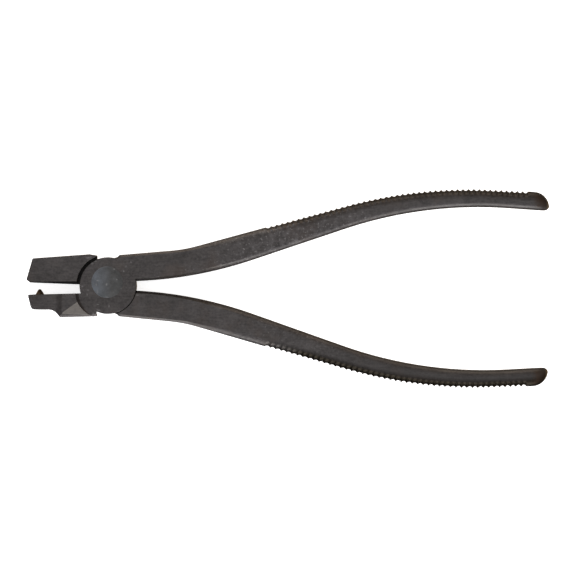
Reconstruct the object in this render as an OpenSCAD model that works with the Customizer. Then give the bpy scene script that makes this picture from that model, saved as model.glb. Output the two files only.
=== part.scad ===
// Running pliers for glass: two forged levers cross in a half-lap joint on one flush rivet.
// The handles reach along +X, the jaws along -X, and the rivet lies along Z.
// The origin is on the rivet's axis, in the back face of the joint. The tool is drawn slightly open.

/* [Overall] */
// Length over the jaw tips and the handle ends
overall_l = 203; // [185:1:245]
// Distance over the outer edges of both grips
grip_spread = 77.7; // [64:0.1:94]

/* [Joint] */
// Diameter of each half-lap disc
disc_d = 22; // [18:0.1:26.5]
// Thickness of the joint over both half-laps
joint_t = 9.6; // [8:0.1:12]
// Clearance between the two half-laps, face to face
lap_clearance = 0.06; // [0.04:0.01:0.1]
// Diameter of the rivet's shank
rivet_d = 7; // [5:0.1:8.5]
// Diameter of the rivet's flush heads
rivet_head_d = 12.2; // [10:0.1:15]
// How far the front head is formed off the rivet's axis, along X
head_shift_x = -0.3; // [-0.6:0.1:0.6]
// How far the front head is formed off the rivet's axis, along Y
head_shift_y = 1.3; // [0:0.1:1.5]
// Radial running clearance of the rivet in the back lever
rivet_clearance = 0.05; // [0.02:0.01:0.08]

/* [Jaws] */
// Reach of the upper jaw's tip from the rivet's axis
upper_reach = 31.6; // [26:0.1:38]
// Reach of the lower jaw's tip from the rivet's axis
lower_reach = 31.1; // [26:0.1:37.5]
// How far each jaw stands proud of the joint, front and back
jaw_proud = 1.6; // [0.8:0.1:2]
// Slope of each gripping face against the centre line, in degrees
face_slope = 1.8; // [0:0.1:2.5]
// Height of the lower gripping face's root under the rivet's axis
mouth_h = 2.75; // [2.2:0.05:3.4]
// Depth of the lower jaw's tip, under its gripping face
lower_depth = 5.8; // [4.8:0.1:7]
// How much thinner the lower jaw's tip is than its root, on each side
tip_relief = 1.2; // [0.6:0.1:1.4]

/* [Stud] */
// Diameter of the stud's foot on the gripping face
stud_d = 3.3; // [2.7:0.1:4]
// Height of the stud over the gripping face
stud_h = 2; // [1.6:0.1:2.4]
// Radius of the stud's nose
nose_r = 0.8; // [0.5:0.05:1]
// Distance of the stud from the lower jaw's tip
stud_setback = 4.5; // [3:0.1:6]
// Depth of the stud's hole in the jaw
stud_hole = 3.6; // [2.5:0.1:4]

/* [Handles] */
// Thickness of the grips, front to back
grip_t = 8.4; // [7:0.1:10]
// Depth of each grip groove
groove_depth = 0.55; // [0.2:0.05:0.8]
// Number of grip grooves on each handle
grooves = 50; // [30:1:60]

/* [Hidden] */

$fn = 96;
steel = "#3b3836";
rivet_steel = "#4a4a4d";
stud_steel = "#2c2420";

disc_r = disc_d / 2;
lap_z = (joint_t + lap_clearance) / 2;
handle_pocket_r = disc_r + 0.3;
jaw_pocket_r = disc_r + 1.1;
face_rise = tan(face_slope);
past = 5;

// Cone that steps from the proud side of a jaw down to the face of the joint.
step_foot_r = disc_r + 0.7;
step_run = 0.78 * jaw_proud;
step_centre = [0.03 * disc_r, -0.18 * disc_r];

// Limits of the jaws, each in its lever's own frame, where the jaw is at the lower left.
// The horn is the end of the jaw's root that meets the other lever's shoulder when the tool is wide open.
horn_x = -0.41 * disc_r;
horn_y = -disc_r - 1;
upper_horn_y = -disc_r - 0.7;
lower_root_y = -disc_r - 1.45;
lower_tip_y = -mouth_h - face_rise * lower_reach - lower_depth;
lower_step_x = -0.59 * lower_reach;
relief_x = -0.65 * lower_reach;
relief_r = 2.8;
stud_x = stud_setback - lower_reach;
stud_y = face_rise * stud_x - mouth_h;
stud_shank_d = 0.73 * stud_d;

// Facet that is ground across the front lower corner of the lower jaw's root.
facet_apex = [-1.16 * disc_r, -0.65 * disc_r];
facet_turn = -54;
facet_tilt = 11;

// Bevel along the root's bottom edge, below the facet. It falls towards the joint as the facet does.
lip_start = [-1.68 * disc_r, -disc_r - 0.2];
lip_fall = 6.4;
lip_tilt = 30;

// Steep bevel on the upper jaw's gripping edge, at its width by the tip and by the joint.
bevel_tip = 0.33;
bevel_root = 1.27;
bevel_tilt = 62;

// Handle: the reach from the rivet's axis, the half spread, and the places that its edges pass through.
reach = overall_l - upper_reach;
spread = grip_spread / 2;
shoulder_x = 0.3 * disc_r;
shoulder_top = 0.365 * disc_r;
shoulder_y = disc_r + 0.9;
crotch_y = 0.15 * disc_r;
grip_start = 0.37 * reach;
grip_end = 0.948 * reach;
nose_start = 0.965 * reach;
nose_x = 0.999 * reach;

// Each edge is a run of straight stretches with a round bend of the third value's radius at each corner.
outer_edge = rounded([
    [shoulder_x, disc_r - 0.55, 0],
    [shoulder_top, shoulder_y, 0.5],
    [0.172 * reach, shoulder_y + 0.06 * spread, 0.29 * reach],
    [0.704 * reach, 1.028 * spread, 1.05 * reach],
    [1.001 * reach, 0.965 * spread, 0.036 * reach],
    [reach, 0.85 * spread, 0],
]);
inner_edge = rounded([
    [shoulder_x, 0.9 * crotch_y, 0],
    [0.2 * reach, crotch_y + 0.033 * spread, 0.94 * reach],
    [0.716 * reach, 0.86 * spread, 0.96 * reach],
    [reach, 0.782 * spread, 0.012 * reach],
    [reach, 0.85 * spread, 0],
]);

function unit(v) = v / norm(v);

// The points of one rounded corner b, between its neighbours a and c.
function corner(a, b, c) =
    let (
        at = [b.x, b.y],
        u = unit([a.x, a.y] - at),
        v = unit([c.x, c.y] - at),
        half = acos(u * v) / 2,
        centre = at + unit(u + v) * b.z / sin(half),
        from = at + u * b.z / tan(half) - centre,
        side = sign(u.x * v.y - u.y * v.x),
        turn = -side * (180 - 2 * half),
        steps = max(2, ceil(abs(turn) / 9) + (b.z > 20 ? 4 : 0))
    )
    [for (i = [0:steps]) centre + turned(from, turn * i / steps)];

function turned(v, a) = [v.x * cos(a) - v.y * sin(a), v.x * sin(a) + v.y * cos(a)];

// A path of [x, y, radius] corners as plain points. A corner of radius 0 stays sharp.
function rounded(path) =
    let (last = len(path) - 1)
    [for (i = [0:last]) each path[i].z == 0 ? [[path[i].x, path[i].y]]
        : corner(path[i == 0 ? last : i - 1], path[i], path[i == last ? 0 : i + 1])];

// How much of the section is left at x: 1 along the handle, closing in a round nose.
function nose(x) = x < nose_start ? 1 : sqrt(1 - pow((x - nose_start) / (reach - nose_start), 2));

function handle_t(x) = lookup(x, [[0.09 * reach, joint_t], [0.27 * reach, grip_t], [reach, 0.92 * grip_t]]);

// The eight corners of the handle's section at x. The groove lowers the outer edge only.
function section(x, groove) =
    let (
        top = lookup(x, outer_edge),
        low = lookup(x, inner_edge),
        half = handle_t(x) * (0.25 + 0.75 * nose(x)) / 2,
        share = lookup(x, [[0.15 * reach, 0.17], [0.36 * reach, 0.5]]),
        bevel = share * min(top - low, 2 * half) / 2,
        mid = joint_t / 2
    )
    [
        [x, top - groove, mid + half - bevel], [x, top - bevel, mid + half],
        [x, low + bevel, mid + half], [x, low, mid + half - bevel],
        [x, low, mid - half + bevel], [x, low + bevel, mid - half],
        [x, top - bevel, mid - half], [x, top - groove, mid - half + bevel],
    ];

// Stations along the handle: plain ones, then a crest and a valley for each groove, then the nose.
pitch = (grip_end - grip_start) / grooves;
stations = concat(
    [for (p = outer_edge) if (p.x < 1.3 * shoulder_top) [p.x, 0]],
    [for (i = [1:14]) [shoulder_top + (grip_start - pitch - shoulder_top) * i / 14, 0]],
    [for (i = [0:2 * grooves]) [grip_start + pitch * i / 2, i % 2 == 0 ? 0 : groove_depth]],
    [for (a = [0:15:90]) [grip_end + 0.5 * pitch + (nose_x - grip_end - 0.5 * pitch) * sin(a), 0]],
);

// A closed skin over rings of the same number of points.
module skin(rings) {
    n = len(rings[0]);
    last = len(rings) - 1;
    sides = [for (i = [0:last - 1]) for (k = [0:n - 1])
        [i * n + k, (i + 1) * n + k, (i + 1) * n + (k + 1) % n, i * n + (k + 1) % n]];
    start = [for (k = [0:n - 1]) k];
    end = [for (k = [n - 1:-1:0]) last * n + k];
    polyhedron([for (ring = rings) each ring], concat(sides, [start, end]), convexity = 6);
}

// The full-thickness handle, cut back around the other lever's disc.
module handle() {
    difference() {
        skin([for (s = stations) section(s.x, s.y)]);
        translate([0, 0, -past]) cylinder(r = handle_pocket_r, h = lap_z + past);
    }
}

// This lever's half of the lap joint.
module lap_disc() {
    translate([0, 0, lap_z]) cylinder(r = disc_r, h = joint_t - lap_z);
}

// Removes the room for the other lever's disc, and steps the proud side down to this lever's disc.
module jaw_cuts() {
    translate([0, 0, -past]) cylinder(r = jaw_pocket_r, h = lap_z + past);
    translate([step_centre.x, step_centre.y, joint_t])
        cylinder(r1 = step_foot_r, r2 = step_foot_r + step_run * past / jaw_proud, h = past);
}

// A jaw of the given outline, as wide as the joint and proud of it on both sides.
module jaw_block(outline) {
    translate([0, 0, -jaw_proud]) linear_extrude(joint_t + 2 * jaw_proud) polygon(outline);
}

// Deep plain jaw that bears on the glass, a slanted tip with its gripping corner cut off.
module upper_jaw() {
    difference() {
        jaw_block(rounded([
            [-0.8 * disc_r, -0.8 * face_rise * disc_r, 0],
            [-upper_reach + 1.5, -face_rise * (upper_reach - 1.5), 0],
            [-upper_reach, -0.19 * disc_r, 0],
            [-upper_reach + 2.4, -0.94 * disc_r, 0.4],
            [-0.66 * disc_r, -disc_r - 1.1, 0],
            [horn_x, upper_horn_y, 0.4],
            [horn_x, -0.8 * disc_r, 0],
        ]));
        jaw_cuts();
        gripping_bevel();
    }
}

// Removes the front corner of the upper jaw's gripping edge, wider by the joint than by the tip.
module gripping_bevel() {
    turn = face_slope - atan((bevel_root - bevel_tip) / (upper_reach - disc_r));
    translate([-upper_reach, -face_rise * upper_reach - bevel_tip, -jaw_proud]) rotate([0, 0, turn])
        rotate([bevel_tilt, 0, 0]) translate([-past, 0, -past]) cube([upper_reach + past, 3 * past, past]);
}

// Shallow jaw that carries the stud: thin at its tip, with a ground facet under its root.
module lower_jaw() {
    difference() {
        intersection() {
            jaw_block(rounded([
                [-0.8 * disc_r, -mouth_h - 0.8 * face_rise * disc_r, 0],
                [-lower_reach, -mouth_h - face_rise * lower_reach, 0],
                [-lower_reach + 1.5, lower_tip_y, 1.6],
                [lower_step_x - 2.6, lower_tip_y, 4],
                [lower_step_x, lower_root_y, 0.4],
                [horn_x, horn_y, 0.5],
                [horn_x, -0.8 * disc_r, 0],
            ]));
            lower_side_view();
        }
        jaw_cuts();
        facet_cut();
        lip_cut();
        stud_axis() translate([0, 0, -stud_hole]) cylinder(d = stud_shank_d, h = stud_hole + past);
    }
}

// Side view of the lower jaw: full width at its root, with a cove down to the thinner tip on both sides.
module lower_side_view() {
    cove_end = acos(1 - tip_relief / relief_r);
    cove = [for (a = [0:cove_end / 6:cove_end + 0.01])
        [relief_x + relief_r * sin(a), joint_t + jaw_proud - tip_relief + relief_r * (1 - cos(a))]];
    front = concat([[-lower_reach - past, cove[0].y]], cove, [[0, cove[len(cove) - 1].y]]);
    back = [for (i = [len(front) - 1:-1:0]) [front[i].x, joint_t - front[i].y]];
    rotate([90, 0, 0]) linear_extrude(4 * disc_r, center = true) polygon(concat(front, back));
}

// The facet's plane falls away from its apex, down and towards the joint.
module facet_cut() {
    translate([facet_apex.x, facet_apex.y, joint_t + jaw_proud]) rotate([0, 0, facet_turn])
        rotate([0, facet_tilt, 0]) translate([0, -2 * disc_r, 0]) cube([2 * disc_r, 4 * disc_r, past]);
}

// Removes the front corner of the root's bottom edge, under the facet.
module lip_cut() {
    translate([lip_start.x, lip_start.y, joint_t + jaw_proud]) rotate([0, lip_fall, 0])
        rotate([lip_tilt, 0, 0]) translate([-disc_r, -disc_r, 0]) cube([3 * disc_r, 2 * disc_r, past]);
}

// Moves a shape that stands on z = 0 onto the lower gripping face, at the stud's place.
module stud_axis() {
    translate([stud_x, stud_y, joint_t / 2]) rotate([-90, 0, face_slope]) children();
}

// Shank of the rivet with the head at the back, grown outward by the given clearance.
module rivet_shank(grow) {
    shank = rivet_d / 2 + grow;
    head = rivet_head_d / 2 + grow;
    sink = 0.6 * (head - shank);
    rotate_extrude() polygon([[0, 0], [head, 0], [shank, sink], [shank, joint_t], [0, joint_t]]);
}

// The rivet. Its front head is formed a little off the axis, which only the front lever sees.
module rivet_blank() {
    foot_r = rivet_d / 2 - norm([head_shift_x, head_shift_y]);
    sink = 0.6 * (rivet_head_d / 2 - foot_r);
    rivet_shank(0);
    translate([head_shift_x, head_shift_y, joint_t - sink])
        cylinder(r1 = foot_r, r2 = rivet_head_d / 2, h = sink);
}

// Half-lap disc and handle, common to both levers.
module lever_body() {
    lap_disc();
    handle();
}

module front_lever() {
    color(steel) difference() {
        union() {
            lever_body();
            lower_jaw();
        }
        rivet_blank();
    }
}

module back_lever() {
    color(steel) difference() {
        translate([0, 0, joint_t]) rotate([180, 0, 0]) {
            lever_body();
            upper_jaw();
        }
        rivet_shank(rivet_clearance);
    }
}

module pivot_rivet() {
    color(rivet_steel) rivet_blank();
}

// Pin with a round-nosed cone of 60 degrees standing on the gripping face.
module running_stud() {
    nose_arc = [for (a = [30:10:90]) [nose_r * cos(a), stud_h - nose_r + nose_r * sin(a)]];
    color(stud_steel) stud_axis() rotate_extrude() polygon(concat(
        [[0, -stud_hole], [stud_shank_d / 2, -stud_hole], [stud_shank_d / 2, 0], [stud_d / 2, 0]],
        nose_arc
    ));
}

front_lever();
back_lever();
pivot_rivet();
running_stud();
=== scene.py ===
"""Visible model of all-metal running pliers: two crossed forgings, their rivet and the stud.

The forgings are built from turned, lofted and extruded blanks that are fused and cut the way
the real ones are forged and ground. Blanks are in millimetres in the lever's own frame, where
the handle is at the upper right, the jaw at the lower left and the half-lap disc in front. The
front lever lies that way, and the back lever is the same forging turned over its long axis.
"""

import logging
import math
from abc import ABC, abstractmethod
from collections.abc import Callable, Iterator, Sequence
from dataclasses import dataclass, field
from enum import Enum
from itertools import pairwise
from typing import TypeVar

import bmesh
import bpy
from mathutils import Matrix, Vector


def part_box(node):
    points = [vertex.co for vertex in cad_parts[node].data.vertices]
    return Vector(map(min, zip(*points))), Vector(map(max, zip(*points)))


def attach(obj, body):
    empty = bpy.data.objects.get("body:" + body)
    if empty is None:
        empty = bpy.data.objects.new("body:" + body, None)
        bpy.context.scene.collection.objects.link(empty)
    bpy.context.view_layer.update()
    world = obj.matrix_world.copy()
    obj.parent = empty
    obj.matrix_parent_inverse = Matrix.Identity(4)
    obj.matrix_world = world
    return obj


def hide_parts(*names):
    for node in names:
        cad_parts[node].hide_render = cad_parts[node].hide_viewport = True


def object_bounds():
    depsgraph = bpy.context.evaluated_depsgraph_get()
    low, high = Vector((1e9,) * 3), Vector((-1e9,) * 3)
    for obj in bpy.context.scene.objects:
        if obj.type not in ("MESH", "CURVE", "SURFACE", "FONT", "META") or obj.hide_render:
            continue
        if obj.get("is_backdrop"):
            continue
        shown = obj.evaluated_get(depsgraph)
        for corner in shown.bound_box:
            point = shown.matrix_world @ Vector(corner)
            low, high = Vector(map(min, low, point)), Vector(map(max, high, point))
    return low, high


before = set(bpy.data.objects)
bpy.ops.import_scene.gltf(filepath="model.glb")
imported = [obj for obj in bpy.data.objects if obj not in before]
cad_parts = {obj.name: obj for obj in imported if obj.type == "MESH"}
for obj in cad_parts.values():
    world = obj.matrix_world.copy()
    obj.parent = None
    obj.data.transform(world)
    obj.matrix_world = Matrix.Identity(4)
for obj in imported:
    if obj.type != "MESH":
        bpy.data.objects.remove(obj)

MM = 0.001
LOG = logging.getLogger("running_pliers")
Item = TypeVar("Item")
Socket = bpy.types.NodeSocket
Colour = tuple[float, float, float]  # red, green and blue
Span = tuple[float, float]  # the two ends of a fade, in millimetres unless a comment says otherwise
Nick = tuple[float, float, float, float]  # a mark's x, y, half width and half height, in millimetres
Stops = tuple[tuple[float, float], ...]  # (share of the handle's reach, value) pairs


# ---------------------------------------------------------------------------------------------
# Outlines and blanks
# ---------------------------------------------------------------------------------------------


@dataclass(frozen=True)
class Bend:
    """A corner of an outline and the radius that rounds it, in millimetres."""

    x: float
    y: float
    radius: float = 0.0


def triples(loop: Sequence[Item]) -> Iterator[tuple[Item, Item, Item]]:
    """Walk round a closed loop, giving each item between the one before and the one after it."""
    return zip([loop[-1], *loop[:-1]], loop, [*loop[1:], loop[0]], strict=True)


def rounded(path: Sequence[Bend], step: float = 7.0, stretch: float = 2.5) -> list[Vector]:
    """Turn the corners of a path into points, with an arc at each corner that has a radius.

    Args:
        path: The corners in order. The first and last are neighbours in a closed path.
        step: The largest angle between two points of an arc, in degrees.
        stretch: The longest stretch of arc between two points, in millimetres.

    Returns:
        The points of the path, without repeats.
    """
    points: list[Vector] = []
    for before, here, after in triples(path):
        at = Vector((here.x, here.y))
        if here.radius == 0:
            points.append(at)
            continue
        u = (Vector((before.x, before.y)) - at).normalized()
        v = (Vector((after.x, after.y)) - at).normalized()
        half = u.angle(v) / 2
        centre = at + (u + v).normalized() * here.radius / math.sin(half)
        start = at + u * here.radius / math.tan(half) - centre
        turn = math.copysign(math.pi - 2 * half, -(u.x * v.y - u.y * v.x))
        length = here.radius * abs(turn)
        count = max(2, math.ceil(abs(math.degrees(turn)) / step), math.ceil(length / stretch))
        points += [centre + Matrix.Rotation(turn * i / count, 2) @ start for i in range(count + 1)]
    return points


def inset(points: Sequence[Vector], depth: float) -> list[Vector]:
    """Move a closed anticlockwise outline inward, with mitred corners.

    Args:
        points: The outline.
        depth: How far each side moves.

    Returns:
        The moved outline, point for point.
    """
    moved: list[Vector] = []
    for before, here, after in triples(points):
        first = (here - before).normalized()
        second = (after - here).normalized()
        inward = Vector((-first.y - second.y, first.x + second.x))
        moved.append(here + inward * depth / (1 + first.dot(second)))
    return moved


def up(z: float) -> Vector:
    """Return the vector of that length along +Z."""
    return Vector((0, 0, z))


def spokes(count: int) -> list[Vector]:
    """Return unit vectors at even angles round the Z axis."""
    return [Vector((math.cos(a), math.sin(a), 0)) for a in (math.tau * k / count for k in range(count))]


def smooth(value: float) -> float:
    """Ease a value from 0 to 1, flat at both ends."""
    t = min(max(value, 0.0), 1.0)
    return t * t * (3 - 2 * t)


def along(x: float, stops: Sequence[tuple[float, float]]) -> float:
    """Read a value that eases from stop to stop.

    Args:
        x: Where to read it.
        stops: (place, value) pairs in order. The end values hold beyond the ends.

    Returns:
        The value at x.
    """
    if x <= stops[0][0]:
        return stops[0][1]
    for (x0, y0), (x1, y1) in pairwise(stops):
        if x < x1:
            return y0 + (y1 - y0) * smooth((x - x0) / (x1 - x0))
    return stops[-1][1]


class Edge:
    """One side of the handle's plan: the height of its edge at each place along it."""

    def __init__(self, path: Sequence[Bend]) -> None:
        """Keep the points of an open path that runs along +X."""
        self.points = rounded(path)

    def at(self, x: float) -> float:
        """Read the edge's y, which holds its end values beyond the edge's ends.

        Args:
            x: Place along the handle.

        Returns:
            The y of the edge there.
        """
        if x <= self.points[0].x:
            return self.points[0].y
        for a, b in pairwise(self.points):
            if x < b.x:
                return a.y + (b.y - a.y) * (x - a.x) / (b.x - a.x)
        return self.points[-1].y


class Cut(Enum):
    """What a second blank does to the first."""

    FUSE = "UNION"
    REMOVE = "DIFFERENCE"
    KEEP = "INTERSECT"


class Blank:
    """A closed mesh that is being worked into a piece, in millimetres."""

    def __init__(self, mesh: bpy.types.Mesh) -> None:
        """Take over a mesh."""
        self.mesh = mesh

    @classmethod
    def skin(
        cls, rings: Sequence[Sequence[Vector]], start: Vector | None = None, end: Vector | None = None
    ) -> "Blank":
        """Skin a closed body over rings of the same number of points.

        Args:
            rings: The rings, in order.
            start: A point that closes the first ring. Without one, a flat face closes it.
            end: The same for the last ring.

        Returns:
            The body as a blank.
        """
        shape = bmesh.new()
        rows = [[shape.verts.new(p) for p in ring] for ring in rings]
        count = len(rows[0])
        for a, b in pairwise(rows):
            for k in range(count):
                shape.faces.new((a[k], a[(k + 1) % count], b[(k + 1) % count], b[k]))
        for row, pole in ((rows[0], start), (rows[-1], end)):
            if pole is None:
                shape.faces.new(row)
                continue
            tip = shape.verts.new(pole)
            for k in range(count):
                shape.faces.new((row[k], row[(k + 1) % count], tip))
        bmesh.ops.recalc_face_normals(shape, faces=shape.faces)
        mesh = bpy.data.meshes.new("blank")
        shape.to_mesh(mesh)
        shape.free()
        return cls(mesh)

    @classmethod
    def extruded(cls, outline: Sequence[Vector], low: float, high: float, rim: float = 0.0) -> "Blank":
        """Extrude an outline along +Z, with its two rims rounded.

        Args:
            outline: The closed outline, anticlockwise.
            low: Height of the lower face.
            high: Height of the upper face.
            rim: Radius of the rounded rims, or 0 for sharp ones.

        Returns:
            The extrusion as a blank.
        """
        angles = [math.radians(a) for a in (0, 30, 60, 90)] if rim else [math.pi / 2]
        lower = [(rim * (1 - math.sin(a)), low + rim * (1 - math.cos(a))) for a in angles]
        upper = [(depth, low + high - z) for depth, z in reversed(lower)]
        return cls.skin([[p.to_3d() + up(z) for p in inset(outline, depth)] for depth, z in lower + upper])

    @classmethod
    def turned(
        cls, profile: Sequence[tuple[float, float]], centre: tuple[float, float] = (0, 0), sides: int = 144
    ) -> "Blank":
        """Turn a profile about a vertical axis.

        Args:
            profile: (radius, height) points. The first and last lie on the axis.
            centre: Where the axis stands.
            sides: How many points go round.

        Returns:
            The turned body as a blank.
        """
        axis = Vector((*centre, 0))
        rings = [[axis + spoke * r + up(z) for spoke in spokes(sides)] for r, z in profile[1:-1]]
        poles = [axis + up(profile[i][1]) for i in (0, -1)]
        return cls.skin(rings, *poles)

    @classmethod
    def box(cls, low: Vector, high: Vector) -> "Blank":
        """Make a block between two corners."""
        corners = [Vector(p) for p in ((low.x, low.y), (high.x, low.y), (high.x, high.y), (low.x, high.y))]
        return cls.extruded(corners, low.z, high.z)

    def moved(self, matrix: Matrix) -> "Blank":
        """Move this blank and return it."""
        self.mesh.transform(matrix)
        return self

    def work(self, how: Cut, *tools: "Blank") -> "Blank":
        """Fuse other blanks to this one, or cut it with them. The others are used up.

        Args:
            how: What each tool does.
            tools: The other blanks, used in order.

        Returns:
            This blank.
        """
        for tool in tools:
            pair = [bpy.data.objects.new("work", mesh) for mesh in (self.mesh, tool.mesh)]
            for part in pair:
                bpy.context.scene.collection.objects.link(part)
            step = pair[0].modifiers.new("work", "BOOLEAN")
            step.operation = how.value
            step.solver = "MANIFOLD"
            step.object = pair[1]
            worked = pair[0].evaluated_get(bpy.context.evaluated_depsgraph_get())
            mesh = bpy.data.meshes.new_from_object(worked)
            for part in pair:
                old = part.data
                bpy.data.objects.remove(part)
                bpy.data.meshes.remove(old)
            self.mesh = mesh
        return self

    def piece(self, name: str, *finishes: bpy.types.Material) -> bpy.types.Object:
        """Finish the blank as a shown object in metres, with crisp edges and flat faces.

        Args:
            name: The piece's name.
            finishes: Its materials, the main one first.

        Returns:
            The new object, at the origin of the shared frame.
        """
        weld, crisp = 0.002 * MM, math.radians(32.0)
        self.mesh.transform(Matrix.Scale(MM, 4))
        self.mesh.name = name
        shape = bmesh.new()
        shape.from_mesh(self.mesh)
        bmesh.ops.remove_doubles(shape, verts=shape.verts, dist=weld)
        bmesh.ops.dissolve_degenerate(shape, edges=shape.edges, dist=weld)
        shape.to_mesh(self.mesh)
        shape.free()
        self.mesh.shade_smooth()
        self.mesh.set_sharp_from_angle(angle=crisp)
        self.mesh.materials.clear()
        for finish in finishes:
            self.mesh.materials.append(finish)
        made = bpy.data.objects.new(name, self.mesh)
        bpy.context.scene.collection.objects.link(made)
        weigh = made.modifiers.new("flat_faces", "WEIGHTED_NORMAL")
        weigh.keep_sharp = True
        return made


# ---------------------------------------------------------------------------------------------
# Finishes
# ---------------------------------------------------------------------------------------------


class Carried(Enum):
    """A distance in millimetres that a lever's mesh carries at each of its points."""

    FROM_OUTER = "from_outer_edge"
    FROM_INNER = "from_inner_edge"
    FROM_END = "from_end"


class Shader:
    """A material's node tree, with the few steps that the finishes share."""

    samples: int = 6  # rays for each edge and crevice mask
    edge_turn: Span = (0.995, 0.86)  # cosines of the turn at which the edge mask starts and is full, for worn edges and the rivet's painted rim highlight
    open_share: Span = (0.8, 0.4)  # shares of open air at which the painted crevice shade starts and is full
    front_face: Span = (8.6, 9.0)  # heights just under the joint's front face

    def __init__(self, name: str) -> None:
        """Start a material whose patterns are laid out in millimetres of the shared frame.

        Args:
            name: The material's name.
        """
        self.material = bpy.data.materials.new(name)
        self.material.use_nodes = True
        self.tree = self.material.node_tree
        self.surface = self.tree.nodes["Principled BSDF"]
        place = self.add("ShaderNodeTexCoord")
        scaled = self.add("ShaderNodeVectorMath", operation="SCALE")
        scaled.inputs["Scale"].default_value = 1 / MM
        self.link(place.outputs["Object"], scaled.inputs[0])
        self.place = scaled.outputs[0]

    def add(self, kind: str, **settings: object) -> bpy.types.Node:
        """Add a node.

        Args:
            kind: The node's type.
            settings: Properties to set on it.

        Returns:
            The node.
        """
        node = self.tree.nodes.new(kind)
        for key, value in settings.items():
            setattr(node, key, value)
        return node

    def link(self, source: Socket, target: Socket) -> None:
        """Join two sockets."""
        self.tree.links.new(source, target)

    def stretched(self, scale: tuple[float, float, float]) -> Socket:
        """Scale the coordinates by a different amount along each axis.

        Args:
            scale: The three amounts.

        Returns:
            The scaled coordinates.
        """
        node = self.add("ShaderNodeVectorMath", operation="MULTIPLY")
        self.link(self.place, node.inputs[0])
        node.inputs[1].default_value = scale
        return node.outputs[0]

    def noise(
        self, size: float, detail: float = 4.0, rough: float = 0.55, place: Socket | None = None
    ) -> Socket:
        """Return a cloudy pattern.

        Args:
            size: Width of the largest clouds, in millimetres.
            detail: How many finer layers there are.
            rough: How strong the finer layers are.
            place: Coordinates to use instead of the plain ones.

        Returns:
            The socket with the pattern, from 0 to 1.
        """
        node = self.add("ShaderNodeTexNoise")
        node.inputs["Scale"].default_value = 1 / size
        node.inputs["Detail"].default_value = detail
        node.inputs["Roughness"].default_value = rough
        self.link(place or self.place, node.inputs["Vector"])
        return node.outputs["Fac"]

    def ramp(self, source: Socket, low: float, high: float, start: float = 0.0, end: float = 1.0) -> Socket:
        """Map a value from low..high to start..end, and hold it there beyond both.

        Args:
            source: The value.
            low: The value that becomes start.
            high: The value that becomes end.
            start: What the result is at low.
            end: What the result is at high.

        Returns:
            The mapped value.
        """
        node = self.add("ShaderNodeMapRange")
        self.link(source, node.inputs["Value"])
        for key, value in (("From Min", low), ("From Max", high), ("To Min", start), ("To Max", end)):
            node.inputs[key].default_value = value
        return node.outputs["Result"]

    def math(self, operation: str, first: Socket, second: Socket | float) -> Socket:
        """Combine a pattern with another pattern or a number.

        Args:
            operation: How they are combined.
            first: The pattern.
            second: The other pattern or the number.

        Returns:
            The result.
        """
        node = self.add("ShaderNodeMath", operation=operation)
        self.link(first, node.inputs[0])
        if isinstance(second, float):
            node.inputs[1].default_value = second
        else:
            self.link(second, node.inputs[1])
        return node.outputs[0]

    def blend(self, share: Socket, first: Socket | Colour, second: Socket | Colour) -> Socket:
        """Mix two colours by a pattern.

        Args:
            share: The pattern.
            first: The colour where the pattern is 0.
            second: The colour where it is 1.

        Returns:
            The mixed colour.
        """
        node = self.add("ShaderNodeMix", data_type="RGBA")
        self.link(share, node.inputs["Factor"])
        for name, colour in (("A", first), ("B", second)):
            socket = next(s for s in node.inputs if s.name == name and s.type == "RGBA")
            if isinstance(colour, tuple):
                socket.default_value = (*colour, 1)
            else:
                self.link(colour, socket)
        return next(s for s in node.outputs if s.type == "RGBA")

    def edges(self, radius: float) -> Socket:
        """Find the edges and corners.

        Args:
            radius: How far from an edge the mask fades, in millimetres.

        Returns:
            A mask that is 1 on edges and corners.
        """
        soft = self.add("ShaderNodeBevel", samples=self.samples)
        soft.inputs["Radius"].default_value = radius * MM
        flat = self.add("ShaderNodeNewGeometry")
        turn = self.add("ShaderNodeVectorMath", operation="DOT_PRODUCT")
        self.link(soft.outputs["Normal"], turn.inputs[0])
        self.link(flat.outputs["Normal"], turn.inputs[1])
        return self.ramp(turn.outputs["Value"], *self.edge_turn)

    def crevices(self, reach: float) -> Socket:
        """Find the gaps and recesses, where painted shade is laid.

        Args:
            reach: Width of the widest gap, in millimetres.

        Returns:
            A mask that is 1 deep in the gaps.
        """
        node = self.add("ShaderNodeAmbientOcclusion", samples=self.samples)
        node.inputs["Distance"].default_value = reach * MM
        return self.ramp(node.outputs["AO"], *self.open_share)

    def carried(self, value: Carried) -> Socket:
        """Return a value that the piece carries at each of its points."""
        return self.add("ShaderNodeAttribute", attribute_name=value.value).outputs["Fac"]

    def beyond(self, axis: str, start: float, end: float) -> Socket:
        """Fade along one axis of the shared frame.

        Args:
            axis: The axis, X, Y or Z.
            start: Where the mask starts, in millimetres.
            end: Where it is full.

        Returns:
            A mask that is 0 before start and 1 past end.
        """
        split = self.add("ShaderNodeSeparateXYZ")
        self.link(self.place, split.inputs[0])
        return self.ramp(split.outputs[axis], start, end)

    def marks(self, nicks: Sequence[Nick]) -> Socket:
        """Lay soft oval marks on the front face.

        Args:
            nicks: The marks.

        Returns:
            A mask that is 1 in the middle of each mark and 0 outside them.
        """
        front = self.beyond("Z", *self.front_face)
        total: Socket | None = None
        for x, y, wide, high in nicks:
            shift = self.add("ShaderNodeVectorMath", operation="SUBTRACT")
            self.link(self.place, shift.inputs[0])
            shift.inputs[1].default_value = (x, y, 0)
            size = self.add("ShaderNodeVectorMath", operation="MULTIPLY")
            self.link(shift.outputs[0], size.inputs[0])
            size.inputs[1].default_value = (1 / wide, 1 / high, 0)
            length = self.add("ShaderNodeVectorMath", operation="LENGTH")
            self.link(size.outputs[0], length.inputs[0])
            mark = self.ramp(length.outputs["Value"], 1.0, 0.25)
            total = self.math("MAXIMUM", total, mark) if total else mark
        return self.math("MULTIPLY", total, front)

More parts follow.
